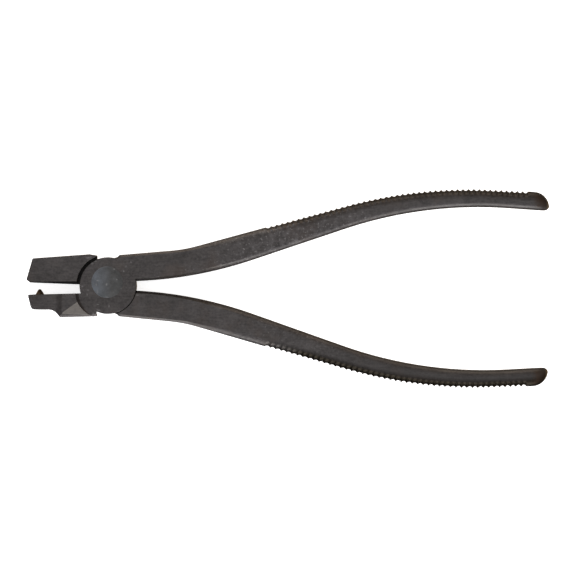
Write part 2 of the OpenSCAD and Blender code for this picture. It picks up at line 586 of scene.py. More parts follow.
    def bump(self, layers: Sequence[tuple[Socket, float]]) -> None:
        """Raise the surface by patterns.

        Args:
            layers: (pattern, height in millimetres) pairs.
        """
        normal: Socket | None = None
        for pattern, height in layers:
            node = self.add("ShaderNodeBump")
            node.inputs["Strength"].default_value = 1.0
            node.inputs["Distance"].default_value = height * MM
            self.link(pattern, node.inputs["Height"])
            if normal:
                self.link(normal, node.inputs["Normal"])
            normal = node.outputs["Normal"]
        self.link(normal, self.surface.inputs["Normal"])

    def coat(self, colour: Socket, roughness: Socket, metallic: float) -> None:
        """Connect the surface.

        Args:
            colour: Its colour.
            roughness: Its roughness.
            metallic: How metallic it is where nothing is linked to that.
        """
        self.link(colour, self.surface.inputs["Base Color"])
        self.link(roughness, self.surface.inputs["Roughness"])
        self.surface.inputs["Metallic"].default_value = metallic


class Finish(ABC):
    """The finish of a surface, which can be made into a material."""

    def material(self, name: str) -> bpy.types.Material:
        """Make the finish as a node material.

        Args:
            name: The material's name.

        Returns:
            The material.
        """
        shader = Shader(name)
        self.paint(shader)
        return shader.material

    @abstractmethod
    def paint(self, s: Shader) -> None:
        """Lay the finish's colour, roughness and relief on a new material."""


@dataclass(frozen=True)
class BlackOxide(Finish):
    """Forged steel under a black oxide skin: mottled, scuffed by use, rubbed bright on its edges."""

    deep: Colour = (0.013, 0.0118, 0.0116)
    pale: Colour = (0.0455, 0.0418, 0.0418)
    smudge: Colour = (0.072, 0.068, 0.070)
    brown: Colour = (0.040, 0.028, 0.021)
    burnt: Colour = (0.024, 0.0155, 0.011)
    # near black of the painted shade in gaps and recesses
    crevice_shade: Colour = (0.0018, 0.0016, 0.0015)
    worn: Colour = (0.13, 0.12, 0.11)
    # the pale of chips and nicks, and of the painted highlights on the front disc's rim
    fleck_and_glint: Colour = (0.115, 0.110, 0.112)
    palm_dirt_and_shade: Colour = (0.009, 0.0072, 0.0050)
    crest: Colour = (0.17, 0.135, 0.092)
    metallic: float = 0.7
    palm_metallic: float = 0.98
    scuffs: float = 1.0  # how strong the scuffs are
    grip_shade: float = 0.0  # how much painted shade darkens the grip's faces
    grip_dirt_and_shade: float = 0.5  # how strong the grease and grit from the hand, and the painted shade in the outer grooves, are
    crest_wear: float = 1.0  # how bare the crests between the grooves are
    knock_start: Span = (28.0, 60.0)  # x over which knocks and scuffs set in along the handle
    knock_end: Span = (116.0, 84.0)  # x over which they fade out again
    shade_zone: Span = (80.0, 110.0)
    palm_zone: Span = (60.0, 76.0)
    crest_zone: Span = (50.0, 70.0)
    end_zone: Span = (163.5, 167.0)
    bright_line: float = 1.9  # how far a rubbed line runs from the handle's inner edge
    # marks on the front face; the front lever's include two painted highlights on its disc's rim
    nicks: tuple[Nick, ...] = ()

    def mottled(self, s: Shader, clouds: Socket, grain: Socket) -> Socket:
        """Mottle the skin with clouds, grain, streaks and brown patches.

        Args:
            s: The material.
            clouds: The wide pattern.
            grain: The fine pattern.

        Returns:
            The skin's colour.
        """
        streaks = s.noise(1.0, 4.0, 0.6, s.stretched((0.25, 1.6, 1.0)))
        tone = s.math("ADD", s.ramp(clouds, 0.34, 0.68, 0.0, 0.4), s.ramp(grain, 0.38, 0.64, 0.0, 0.55))
        tone = s.math("ADD", tone, s.ramp(streaks, 0.4, 0.7, 0.0, 0.35))
        colour = s.blend(tone, self.deep, self.pale)
        return s.blend(s.ramp(s.noise(12.0, 3.0), 0.53, 0.72, 0.0, 0.35), colour, self.brown)

    def scuffed(self, s: Shader, colour: Socket, inner: Socket) -> tuple[Socket, Socket]:
        """Scuff and chip the skin, most of all half way along the handle.

        Args:
            s: The material.
            colour: The colour so far.
            inner: Distance from the handle's inner edge.

        Returns:
            The new colour and the mask of the chips.
        """
        handled = s.math("MULTIPLY", s.beyond("X", *self.knock_start), s.beyond("X", *self.knock_end))
        amount = s.math("ADD", s.ramp(s.noise(9.0, 3.0, 0.6), 0.5, 0.7, 0.0, 0.4), handled)
        amount = s.math("MULTIPLY", amount, self.scuffs)
        off_line = s.math("ABSOLUTE", s.math("SUBTRACT", inner, self.bright_line), 0.0)
        near_line = s.math("MULTIPLY", handled, 0.5 * self.scuffs)
        amount = s.math("ADD", amount, s.math("MULTIPLY", s.ramp(off_line, 0.5, 0.2), near_line))
        smudges = s.math("MULTIPLY", s.ramp(s.noise(1.9, 5.0, 0.65), 0.46, 0.66), amount)
        colour = s.blend(s.math("MULTIPLY", smudges, 0.55), colour, self.smudge)
        chips = s.math("MULTIPLY", s.ramp(s.noise(1.0, 3.0, 0.6), 0.58, 0.72), s.ramp(amount, 0.15, 0.85))
        return s.blend(chips, colour, self.fleck_and_glint), chips

    def handled(self, s: Shader, colour: Socket, outer: Socket) -> tuple[Socket, Socket]:
        """Darken the grip's faces with painted shade, and its grooved outer side with grease and grit from
        the hand and painted shade in the grooves.

        Args:
            s: The material.
            colour: The colour so far.
            outer: Distance from the handle's outer edge.

        Returns:
            The new colour and the mask of the grease, grit and groove shade.
        """
        # Painted shade: the grip's faces darken towards the end.
        shade = s.math("MULTIPLY", s.beyond("X", *self.shade_zone), self.grip_shade)
        colour = s.blend(shade, colour, self.deep)
        # Grease and grit from the hand in the outer grooves, together with painted shade where the grooves
        # shade themselves.
        dirt_and_shade = s.math("MULTIPLY", s.ramp(outer, 3.9, 2.1), s.beyond("X", *self.palm_zone))
        return s.blend(s.math("MULTIPLY", dirt_and_shade, self.grip_dirt_and_shade), colour, self.palm_dirt_and_shade), dirt_and_shade

    def burnt_end(self, s: Shader, colour: Socket, grain: Socket, gaps: Sequence[Socket]) -> Socket:
        """Burn the handle's end brown inside its pale rim.

        Args:
            s: The material.
            colour: The colour so far.
            grain: The fine pattern, which makes the burnt patch ragged.
            gaps: Distances from the outer edge, the inner edge and the end.

        Returns:
            The new colour.
        """
        outer, inner, end = gaps
        ragged = s.math("ADD", s.beyond("X", *self.end_zone), s.ramp(grain, 0.3, 0.7, -0.5, 0.4))
        rim = s.math("MINIMUM", s.math("MINIMUM", outer, inner), end)
        burn = s.math("MULTIPLY", s.ramp(ragged, 0.2, 1.0), s.ramp(rim, 0.7, 1.6))
        colour = s.blend(burn, colour, self.burnt)
        return s.blend(s.ramp(end, 1.4, 0.2, 0.0, 0.9), colour, self.crest)

    def rubbed(self, s: Shader, colour: Socket, outer: Socket) -> Socket:
        """Rub the edges and the crests between the grooves bare.

        Args:
            s: The material.
            colour: The colour so far.
            outer: Distance from the handle's outer edge.

        Returns:
            The new colour.
        """
        rub = s.math("MULTIPLY", s.edges(0.2), s.ramp(s.noise(2.0, 5.0, 0.7), 0.44, 0.62))
        colour = s.blend(s.math("MULTIPLY", rub, 0.85), colour, self.worn)
        grooved = s.math("MULTIPLY", s.ramp(outer, 1.1, 0.4), s.beyond("X", *self.crest_zone))
        crests = s.math("MULTIPLY", s.edges(0.4), grooved)
        return s.blend(s.math("MULTIPLY", crests, self.crest_wear), colour, self.crest)

    def paint(self, s: Shader) -> None:
        """Lay the skin, its wear, the grease and grit from the hand, and its painted shade on a new
        material.

        Args:
            s: The material.
        """
        clouds = s.noise(7.0, 6.0, 0.62)
        grain = s.noise(0.9, 5.0, 0.68)
        outer, inner, end = (s.carried(value) for value in Carried)
        colour, chips = self.scuffed(s, self.mottled(s, clouds, grain), inner)
        colour, dirt_and_shade = self.handled(s, colour, outer)
        colour = self.burnt_end(s, colour, grain, (outer, inner, end))
        colour = self.rubbed(s, colour, outer)
        layers = [(clouds, 0.10), (s.noise(0.4, 3.0, 0.6), 0.010), (chips, -0.015)]
        # Nicks, and on the front lever also a painted highlight where the disc's rim catches the light.
        if self.nicks:
            broken = s.ramp(s.noise(0.45, 2.0, 0.6), 0.35, 0.6, 0.15, 0.8)
            nicks = s.math("MULTIPLY", s.marks(self.nicks), broken)
            colour = s.blend(nicks, colour, self.fleck_and_glint)
            layers.append((nicks, -0.03))
        # Painted shade: gaps and recesses are darkened to near black, standing in for the shadow in them.
        colour = s.blend(s.crevices(4.0), colour, self.crevice_shade)
        s.bump(layers)
        greasy = s.math("MULTIPLY", dirt_and_shade, (self.palm_metallic - self.metallic) * self.grip_dirt_and_shade)
        s.link(s.math("ADD", greasy, self.metallic), s.surface.inputs["Metallic"])
        s.coat(colour, s.ramp(grain, 0.3, 0.75, 0.36, 0.54), self.metallic)


# Single chips and nicks on the front faces of the joint and the jaws, and two painted highlights on the
# disc's rim.
FRONT_NICKS_AND_HIGHLIGHTS: tuple[Nick, ...] = (
    (-9.9, -0.4, 0.5, 0.5),
    (-7.7, -1.8, 0.35, 0.35),
    (-8.0, -3.6, 0.3, 0.8),
    (6.9, 7.5, 0.45, 0.45),
    (6.1, 5.7, 0.4, 0.5),
    (8.9, 9.15, 0.35, 0.6),
    (-3.9, -7.4, 0.8, 0.25),
    (0.5, -8.0, 0.3, 0.7),
    (-3.6, -9.6, 1.2, 0.5),
    (4.4, -9.9, 0.9, 0.35),
    # painted highlight: the light that the disc's rim catches at its upper left
    (-6.2, 8.5, 0.9, 0.5),
    (-4.9, 9.4, 0.7, 0.35),
)
BACK_NICKS: tuple[Nick, ...] = ((-7.6, 10.7, 1.1, 0.4), (-6.6, 11.0, 0.6, 0.4), (11.5, -3.6, 0.8, 0.3))
FRONT_OXIDE = BlackOxide(nicks=FRONT_NICKS_AND_HIGHLIGHTS)
# The back lever's oxide is a darker copy: fewer scuffs and bare crests, stronger grease and grit, and
# painted shade along its grip and in its grooves, where the lower handle lies in shade.
BACK_OXIDE = BlackOxide(scuffs=0.35, grip_shade=0.3, grip_dirt_and_shade=0.95, crest_wear=0.12, nicks=BACK_NICKS)
# Painted shade: a near-black copy of the oxide for the upper jaw's steep bevel, which faces away from the
# light.
SHADED_BEVEL_OXIDE = BlackOxide(deep=(0.002, 0.002, 0.0022), pale=(0.009, 0.0085, 0.009), scuffs=0.0)


@dataclass(frozen=True)
class GroundSteel(Finish):
    """Steel that a wheel has cut to a bright flat, with fine lines along the cut."""

    bright: Colour = (0.119, 0.109, 0.099)
    shade: Colour = (0.073, 0.067, 0.062)
    worn: Colour = (0.308, 0.280, 0.252)
    metallic: float = 0.6

    def paint(self, s: Shader) -> None:
        """Lay the ground lines and the bare edges on a new material.

        Args:
            s: The material.
        """
        lines = s.noise(1.0, 3.0, 0.6, s.stretched((0.5, 9.0, 4.0)))
        clouds = s.noise(2.4, 4.0, 0.6)
        tone = s.math("MULTIPLY", s.ramp(lines, 0.3, 0.7), s.ramp(clouds, 0.3, 0.62))
        colour = s.blend(tone, self.shade, self.bright)
        colour = s.blend(s.math("MULTIPLY", s.edges(0.28), 0.8), colour, self.worn)
        s.bump([(lines, 0.006)])
        s.coat(colour, s.ramp(clouds, 0.3, 0.7, 0.34, 0.5), self.metallic)


@dataclass(frozen=True)
class RivetSteel(Finish):
    """The rivet's head: dark oxide that turns paler and bluish towards its left side, partly ground thin and
    partly painted reflection, with a painted highlight on its left rim and a few small marks.
    """

    deep: Colour = (0.019, 0.0195, 0.0195)
    pale: Colour = (0.044, 0.0445, 0.045)
    thin_oxide_and_sheen: Colour = (0.064, 0.072, 0.084)
    mark: Colour = (0.12, 0.12, 0.12)
    metallic: float = 0.6
    nicks: tuple[Nick, ...] = (
        (2.4, 6.4, 0.5, 0.5),
        (3.4, 2.4, 0.4, 0.4),
        (5.3, -1.1, 0.4, 0.4),
        (-0.3, -4.5, 0.9, 0.25),
        (-0.5, 0.5, 0.5, 0.8),
        (-4.5, 0.3, 0.4, 0.6),
        (-3.8, 1.9, 0.9, 0.35),
        (-4.0, -2.4, 0.4, 1.0),
    )

    def paint(self, s: Shader) -> None:
        """Lay the head's bluish tint, which is partly painted reflection, its marks and its painted rim
        highlight on a new material.

        Args:
            s: The material.
        """
        clouds = s.noise(3.0, 5.0, 0.65)
        grain = s.noise(0.6, 4.0, 0.7)
        colour = s.blend(s.ramp(clouds, 0.35, 0.68), self.deep, self.pale)
        # Painted reflection, partly thin ground oxide: the head turns paler and bluish towards its left
        # side, where the bluish lamp stands.
        thin_oxide_and_sheen = s.math("MULTIPLY", s.beyond("X", 1.5, -5.0), s.ramp(clouds, 0.3, 0.62, 0.45, 1.0))
        colour = s.blend(thin_oxide_and_sheen, colour, self.thin_oxide_and_sheen)
        broken = s.ramp(s.noise(0.45, 2.0, 0.6), 0.35, 0.6, 0.15, 0.7)
        marks = s.math("MULTIPLY", s.marks(self.nicks), broken)
        colour = s.blend(marks, colour, self.mark)
        # Painted highlight: the left rim is lightened in the same bluish tint.
        rub = s.math("MULTIPLY", s.edges(0.25), s.beyond("X", 3.0, -4.0))
        colour = s.blend(rub, colour, self.thin_oxide_and_sheen)
        s.bump([(clouds, 0.05), (grain, 0.008), (marks, -0.03)])
        s.coat(colour, s.ramp(grain, 0.3, 0.7, 0.34, 0.5), self.metallic)


@dataclass(frozen=True)
class TemperedSteel(Finish):
    """The hardened stud: dark brown from the heat, in darker and warmer patches."""

    deep: Colour = (0.060, 0.042, 0.027)
    warm: Colour = (0.20, 0.14, 0.085)
    metallic: float = 0.7

    def paint(self, s: Shader) -> None:
        """Lay the heat colours on a new material.

        Args:
            s: The material.
        """
        heat = s.noise(0.8, 4.0, 0.6)
        s.bump([(heat, 0.006)])
        colour = s.blend(s.ramp(heat, 0.35, 0.7), self.deep, self.warm)
        s.coat(colour, s.ramp(heat, 0.3, 0.7, 0.28, 0.42), self.metallic)


@dataclass(frozen=True)
class PaleSweep(Finish):
    """The studio's matte white table top, lit softly from below."""

    colour: Colour = (0.86, 0.86, 0.86)
    glow: float = 0.75
    cloud: float = 0.985  # how bright its faint clouds are

    def paint(self, s: Shader) -> None:
        """Lay faint clouds and the glow on a new material.

        Args:
            s: The material.
        """
        clouds = s.noise(160.0, 3.0)
        dimmer = tuple(c * self.cloud for c in self.colour)
        s.surface.inputs["Emission Color"].default_value = (1.0, 1.0, 1.0, 1.0)
        s.surface.inputs["Emission Strength"].default_value = self.glow
        s.coat(s.blend(clouds, dimmer, self.colour), s.ramp(clouds, 0.0, 1.0, 0.85, 0.95), 0.0)


# ---------------------------------------------------------------------------------------------
# Pieces
# ---------------------------------------------------------------------------------------------


@dataclass(frozen=True)
class Joint:
    """Sizes of the half-lap joint that every blank is fitted to, in millimetres."""

    thickness: float
    proud: float
    rivet_head_r: float
    disc_r: float = 11.0
    lap_clearance: float = 0.06
    rivet_shank_r: float = 3.5
    head_shift: tuple[float, float] = (-0.3, 1.3)
    jaw_pocket_r: float = 12.1  # radius of the wall that the jaws leave round the other disc
    handle_pocket_r: float = 11.3
    sink_slope: float = 0.6  # how deep a countersink is for its width
    step_r: float = 11.7  # radius of the step's foot in front of each jaw
    step_run: float = 1.25  # how much wider the step is at the jaw's face

    @property
    def lap(self) -> float:
        """Height of the face where this lever's half-lap begins."""
        return (self.thickness + self.lap_clearance) / 2

    @property
    def low(self) -> float:
        """Height of the jaws' back faces."""
        return -self.proud

    @property
    def high(self) -> float:
        """Height of the jaws' front faces."""
        return self.thickness + self.proud

    @property
    def flip(self) -> Matrix:
        """The turn over the long axis that lays a blank on the joint's other side."""
        return Matrix.Translation(up(self.thickness)) @ Matrix.Rotation(math.pi, 4, "X")

    def disc(self, rim: float = 0.22) -> Blank:
        """Turn this lever's half of the lap.

        Args:
            rim: Radius of the rounded rim on its open face.

        Returns:
            The disc.
        """
        r, top = self.disc_r, self.thickness
        arc = (0.0, 0.52, 1.05, 1.57)
        curve = [(r - rim + rim * math.cos(a), top - rim + rim * math.sin(a)) for a in arc]
        return Blank.turned([(0, self.lap), (r, self.lap), *curve, (0, top)])

    def pocket(self, radius: float, flare: float) -> Blank:
        """Turn a cutter for the other lever's disc, which also breaks the edge at the jaw's face.

        Args:
            radius: Radius of the pocket's wall.
            flare: Width of the broken edge.

        Returns:
            The cutter, from under the lever up to the lap.
        """
        low = self.low
        wide = radius + flare
        mouth = [(0, low - 3), (wide, low - 3), (wide, low)]
        return Blank.turned([*mouth, (radius, low + flare), (radius, self.lap), (0, self.lap)])

    def shank(self, grow: float, lip: float) -> Blank:
        """Turn the rivet's shank and back head, or the cutter for them.

        Args:
            grow: How much wider than the rivet it is.
            lip: Width of the broken edge round the head, for a cutter.

        Returns:
            The shank, from the back face to just under the front face.
        """
        head, shank = self.rivet_head_r + grow, self.rivet_shank_r + grow
        mouth = [(0, -2), (head + lip, -2), (head + lip, 0)] if lip else [(0, 0)]
        sink, top = self.sink_slope * (head - shank), self.thickness - 0.3
        return Blank.turned([*mouth, (head, lip / 2), (shank, sink), (shank, top), (0, top)])

    def front_head(self, top: Sequence[tuple[float, float]]) -> Blank:
        """Turn the front head, which is formed a little off the rivet's axis.

        Args:
            top: (radius, height) points of its top, from its rim to its middle.

        Returns:
            The head, down to where it meets the shank.
        """
        foot = self.rivet_shank_r - Vector(self.head_shift).length
        sink = self.thickness - self.sink_slope * (self.rivet_head_r - foot)
        return Blank.turned([(0, sink), (foot, sink), *top], centre=self.head_shift)

    def step(self) -> Blank:
        """Turn a cutter that steps a jaw's proud front face down to the joint's face.

        Returns:
            The cutter, whose axis stands a little below the rivet's.
        """
        foot, run, t, rise = self.step_r, self.step_run, self.thickness, self.proud
        fillet = [(foot + run * (i / 4) ** 0.75, t + rise * (i / 4)) for i in range(5)]
        wide = foot + run * 1.4
        profile = [(0, t), *fillet, (wide, t + rise + 1), (0, t + rise + 1)]
        return Blank.turned(profile, centre=(0.03 * self.disc_r, -0.18 * self.disc_r))


@dataclass(frozen=True)
class Corner:
    """One rounded corner of the handle's section, in millimetres from the section's middle."""

    side: float  # where the edge lies
    wide: float  # how far its rounding reaches, measured towards the edge
    face: float  # where the face lies
    high: float  # how far the rounding reaches, measured towards the face
    turn: float  # the angle where its quarter turn starts, in degrees


@dataclass
class Handle:
    """One curved handle: a flat-faced root that turns into a rounded, grooved grip."""

    joint: Joint
    reach: float
    spread: float
    grip_t: float = 8.4
    grooves: int = 48
    groove_depth: float = 0.6
    grip: Span = (0.365, 0.95)  # shares of the reach between which the grooves lie
    end_start: float = 0.962  # share of the reach where the faces start to close at the end
    end_length: float = 0.038
    outer_wide: Stops = ((0.15, 0.85), (0.37, 3.4))
    inner_wide: Stops = ((0.12, 1.0), (0.42, 2.6))
    outer_high: Stops = ((0.15, 0.65), (0.4, 2.4))
    inner_high: Stops = ((0.12, 1.8), (0.4, 2.2))
    chamfer: Stops = ((0.16, 1.0), (0.38, 0.0))  # 1 where the corners are flat, 0 where they are round
    deepening: Stops = ((0.5, 1.0), (0.85, 1.25))  # how the grooves deepen towards the end
    corner_points: int = 6
    outer: Edge = field(init=False)
    inner: Edge = field(init=False)
    outer_line: Edge = field(init=False)
    inner_line: Edge = field(init=False)

    def __post_init__(self) -> None:
        """Lay out the two edges, and the same edges without the round end."""
        reach, spread, disc_r = self.reach, self.spread, self.joint.disc_r
        crotch = 0.15 * disc_r
        outer = [
            Bend(0.3 * disc_r, disc_r - 0.55),
            Bend(0.365 * disc_r, disc_r + 0.9, 0.55),
            Bend(0.172 * reach, disc_r + 0.9 + 0.06 * spread, 0.29 * reach),
            Bend(0.704 * reach, 1.028 * spread, 1.05 * reach),
        ]
        inner = [
            Bend(0.3 * disc_r, 0.9 * crotch),
            Bend(0.2 * reach, crotch + 0.033 * spread, 0.94 * reach),
            Bend(0.716 * reach, 0.86 * spread, 0.96 * reach),
        ]
        nose = Bend(reach, 0.85 * spread)
        self.outer = Edge([*outer, Bend(1.001 * reach, 0.965 * spread, 0.036 * reach), nose])
        self.inner = Edge([*inner, Bend(reach, 0.782 * spread, 0.012 * reach), nose])
        self.outer_line = Edge([*outer, Bend(1.05 * reach, 0.955 * spread)])
        self.inner_line = Edge([*inner, Bend(1.05 * reach, 0.773 * spread)])

    def eased(self, x: float, stops: Stops) -> float:
        """Read a value at x from stops that are placed by share of the reach."""
        return along(x, [(share * self.reach, value) for share, value in stops])

    def stations(self) -> list[tuple[float, float]]:
        """Place the rings: plain ones, six to each grip groove, then the end's.

        Returns:
            The x of each ring, and how deep its groove is as a share of a full one.
        """
        start, end = (share * self.reach for share in self.grip)
        pitch = (end - start) / self.grooves
        root = 0.3 * self.joint.disc_r
        plain = [(root + (start - root) * (i / 30) ** 1.6, 0.0) for i in range(30)]
        phases = (0.0, 0.1, 0.25, 0.5, 0.75, 0.9)
        grip = [(start + pitch * (i + p), 1 - (2 * p - 1) ** 2) for i in range(self.grooves) for p in phases]
        turns = [math.radians(a) for a in (0, 12, 24, 36, 46, 56, 64, 71, 77, 82, 86)]
        return plain + grip + [(end + (self.reach - end) * math.sin(a), 0.0) for a in turns]

    def corners(self, x: float, top: float, low: float) -> list[Corner]:
        """Size the four corners of the section at one station.

        Args:
            x: Place along the handle.
            top: Where the outer edge lies.
            low: Where the inner edge lies.

        Returns:
            The corners, from the outer side round over the front face.
        """
        half = self.eased(x, ((0.09, self.joint.thickness / 2), (0.27, self.grip_t / 2)))
        closed = max(0.0, (x - self.end_start * self.reach) / (self.end_length * self.reach))
        half *= (1 - min(closed, 1.0) ** 2.3) ** 0.45
        outer_wide, inner_wide = (
            min(self.eased(x, stops), 0.5 * (top - low)) for stops in (self.outer_wide, self.inner_wide)
        )
        outer_high, inner_high = (
            min(self.eased(x, stops), 0.8 * half) for stops in (self.outer_high, self.inner_high)
        )
        return [
            Corner(top, outer_wide, half, outer_high, 0),
            Corner(low, -inner_wide, half, inner_high, 90),
            Corner(low, -inner_wide, -half, -inner_high, 180),
            Corner(top, outer_wide, -half, -outer_high, 270),
        ]

    def ring(self, x: float, groove: float) -> list[Vector]:
        """Lay out the section at one station, square to the handle's run.

        Args:
            x: Place along the handle.
            groove: How deep the outer edge is cut, as a share of the full groove.

        Returns:
            The section's points, from the outer side round over the front face.
        """
        middle = (self.outer_line.at(x) + self.inner_line.at(x)) / 2
        ahead = (self.outer_line.at(x + 1) + self.inner_line.at(x + 1)) / 2
        run = Vector((1, ahead - middle)).normalized()
        across = Vector((-run.y, run.x))
        top = low = 0.0
        for _ in range(8):
            top = (self.outer.at(x + top * across.x) - middle) / across.y
            low = (self.inner.at(x + low * across.x) - middle) / across.y
        corners = self.corners(x, top, low)
        flat, outer_wide = self.eased(x, self.chamfer), corners[0].wide
        centre = Vector((x, middle, self.joint.thickness / 2))
        points: list[Vector] = []
        for corner in corners:
            for k in range(self.corner_points + 1):
                share = k / self.corner_points
                a = math.radians(corner.turn + 90 * share)
                u, w = abs(math.cos(a)), abs(math.sin(a))
                level = share if corner.turn in (0, 180) else 1 - share
                u, w = u + (1 - level - u) * flat, w + (level - w) * flat
                out = corner.side - corner.wide * (1 - u)
                depth = self.groove_depth * groove * smooth(1.1 * (out - top + outer_wide) / outer_wide)
                depth *= self.eased(x, self.deepening)
                height = corner.face - corner.high * (1 - w)
                points.append(centre + across.to_3d() * (out - depth) + up(height))
        return points

    def blank(self) -> Blank:
        """Loft the handle and cut it back around the other lever's disc.

        Returns:
            The handle.
        """
        rings = [self.ring(x, groove) for x, groove in self.stations()]
        nose = Vector((self.reach, 0.835 * self.spread, self.joint.thickness / 2))
        pocket = self.joint.pocket(self.joint.handle_pocket_r, 0.0)
        return Blank.skin(rings, end=nose).work(Cut.REMOVE, pocket)


@dataclass
class UpperJaw:
    """The deep plain jaw that bears on the scored side of the glass."""

    joint: Joint
    reach: float
    rise: float = 0.0314  # how much the gripping face falls for each millimetre towards the tip
    tip_cut: float = 1.5
    rim: float = 0.42
    bevel_tip: float = 0.33
    bevel_root: float = 1.27
    bevel_tilt: float = 62.0
    face_turn: float = 1.8  # the slope of the gripping face in degrees

    def outline(self) -> list[Vector]:
        """Draw the jaw's outline, with its gripping face uppermost.

        Returns:
            The outline's points.
        """
        r, reach = self.joint.disc_r, self.reach
        return rounded(
            [
                Bend(-0.8 * r, -0.8 * self.rise * r),
                Bend(-reach + self.tip_cut, -self.rise * (reach - self.tip_cut), 0.5),
                Bend(-reach + 0.05, -0.19 * r, 0.5),
                Bend(-reach + 2.4, -0.94 * r, 0.7),
                Bend(-0.66 * r, -r - 1.1, 0.8),
                Bend(-0.41 * r, -r - 0.7, 0.5),
                Bend(-0.41 * r, -0.8 * r),
            ]
        )

    def bevel(self) -> Blank:
        """Make a cutter for the steep bevel on the gripping edge, which widens towards the joint.

        Returns:
            The cutter.
        """
        widening = math.atan((self.bevel_root - self.bevel_tip) / (self.reach - self.joint.disc_r))
        turn = math.radians(self.face_turn) - widening
        at = Vector((-self.reach, -self.rise * self.reach - self.bevel_tip, self.joint.low))
        place = Matrix.Translation(at) @ Matrix.Rotation(turn, 4, "Z")
        place @= Matrix.Rotation(math.radians(self.bevel_tilt), 4, "X")
        return Blank.box(Vector((-5, 0, -5)), Vector((self.reach + 5, 15, 0))).moved(place)

    def blank(self) -> Blank:
        """Forge the jaw, bevel its gripping edge, and cut it back around the other lever's disc.

        Returns:
            The jaw.
        """
        joint = self.joint
        jaw = Blank.extruded(self.outline(), joint.low, joint.high, self.rim)
        return jaw.work(Cut.REMOVE, self.bevel(), joint.pocket(joint.jaw_pocket_r, 0.2), joint.step())


@dataclass
class LowerJaw:
    """The shallow jaw that carries the stud: a thin tip, a deeper root and a ground facet."""

    joint: Joint
    reach: float
    mouth: float = 2.75
    rise: float = 0.0314  # how much the gripping face falls for each millimetre towards the tip
    depth: float = 5.8
    relief: float = 1.2
    cove: float = 3.0
    rim: float = 0.4
    facet_turn: float = -54.0
    facet_tilt: float = 11.0
    lip_fall: float = 6.4
    lip_tilt: float = 30.0
    relief_start: float = 0.65  # share of the reach where the tip's relief begins

    def outline(self) -> list[Vector]:
        """Draw the jaw's outline, with its gripping face uppermost.

        Returns:
            The outline's points.
        """
        r, reach = self.joint.disc_r, self.reach
        tip_y = -self.mouth - self.rise * reach - self.depth
        return rounded(
            [
                Bend(-0.8 * r, -self.mouth - 0.8 * self.rise * r),
                Bend(-reach, -self.mouth - self.rise * reach, 0.45),
                Bend(-reach + 1.5, tip_y, 1.6),
                Bend(-0.59 * reach - 2.6, tip_y, 4.0),
                Bend(-0.59 * reach, -r - 1.45, 0.5),
                Bend(-0.41 * r, -r - 1.0, 0.5),
                Bend(-0.41 * r, -0.8 * r),
            ]
        )

    def facet_matrix(self) -> Matrix:
        """Place the ground facet.

        Returns:
            The place of its apex, with +Z out of the facet.
        """
        r = self.joint.disc_r
        apex = Matrix.Translation((-1.16 * r, -0.65 * r, self.joint.high))
        turn = Matrix.Rotation(math.radians(self.facet_turn), 4, "Z")
        return apex @ turn @ Matrix.Rotation(math.radians(self.facet_tilt), 4, "Y")

    def lip_matrix(self) -> Matrix:
        """Place the bevel along the root's bottom edge.

        Returns:
            The place of its far end, with +Z out of the bevel.
        """
        r = self.joint.disc_r
        start = Matrix.Translation((-1.68 * r, -r - 0.2, self.joint.high))
        fall = Matrix.Rotation(math.radians(self.lip_fall), 4, "Y")
        return start @ fall @ Matrix.Rotation(math.radians(self.lip_tilt), 4, "X")

    def relief_cutter(self) -> Blank:
        """Make a cutter that eases the front of the root down to the tip in a soft double curve.

        Returns:
            The cutter.
        """
        start, high = -self.relief_start * self.reach, self.joint.high
        curve = [(start + self.cove * i / 12, high - self.relief * (1 - smooth(i / 12))) for i in range(13)]
        side = [(-60, high - self.relief), *curve, (start + self.cove, high + 5), (-60, high + 5)]
        cutter = Blank.extruded([Vector(p) for p in side], -30, 30)
        return cutter.moved(Matrix.Rotation(math.pi / 2, 4, "X"))

    def blank(self) -> Blank:
        """Forge the jaw, relieve its tip on both sides, and grind its facet and bottom bevel.

        Returns:
            The jaw.
        """
        joint, outline = self.joint, self.outline()
        root = Blank.extruded(outline, joint.low, joint.high, self.rim)
        root.work(Cut.REMOVE, self.relief_cutter(), self.relief_cutter().moved(joint.flip))
        root_end = -self.relief_start * self.reach - 0.3
        root.work(Cut.REMOVE, Blank.box(Vector((-60, -30, -9)), Vector((root_end, 30, 20))))
        tip = Blank.extruded(outline, joint.low + self.relief, joint.high - self.relief, self.rim)
        jaw = tip.work(Cut.FUSE, root)
        for place, back in ((self.facet_matrix(), 0), (self.lip_matrix(), -11)):
            jaw.work(Cut.REMOVE, Blank.box(Vector((back, -30, 0)), Vector((40, 30, 12))).moved(place))
        return jaw.work(Cut.REMOVE, joint.pocket(joint.jaw_pocket_r, 0.3), joint.step())


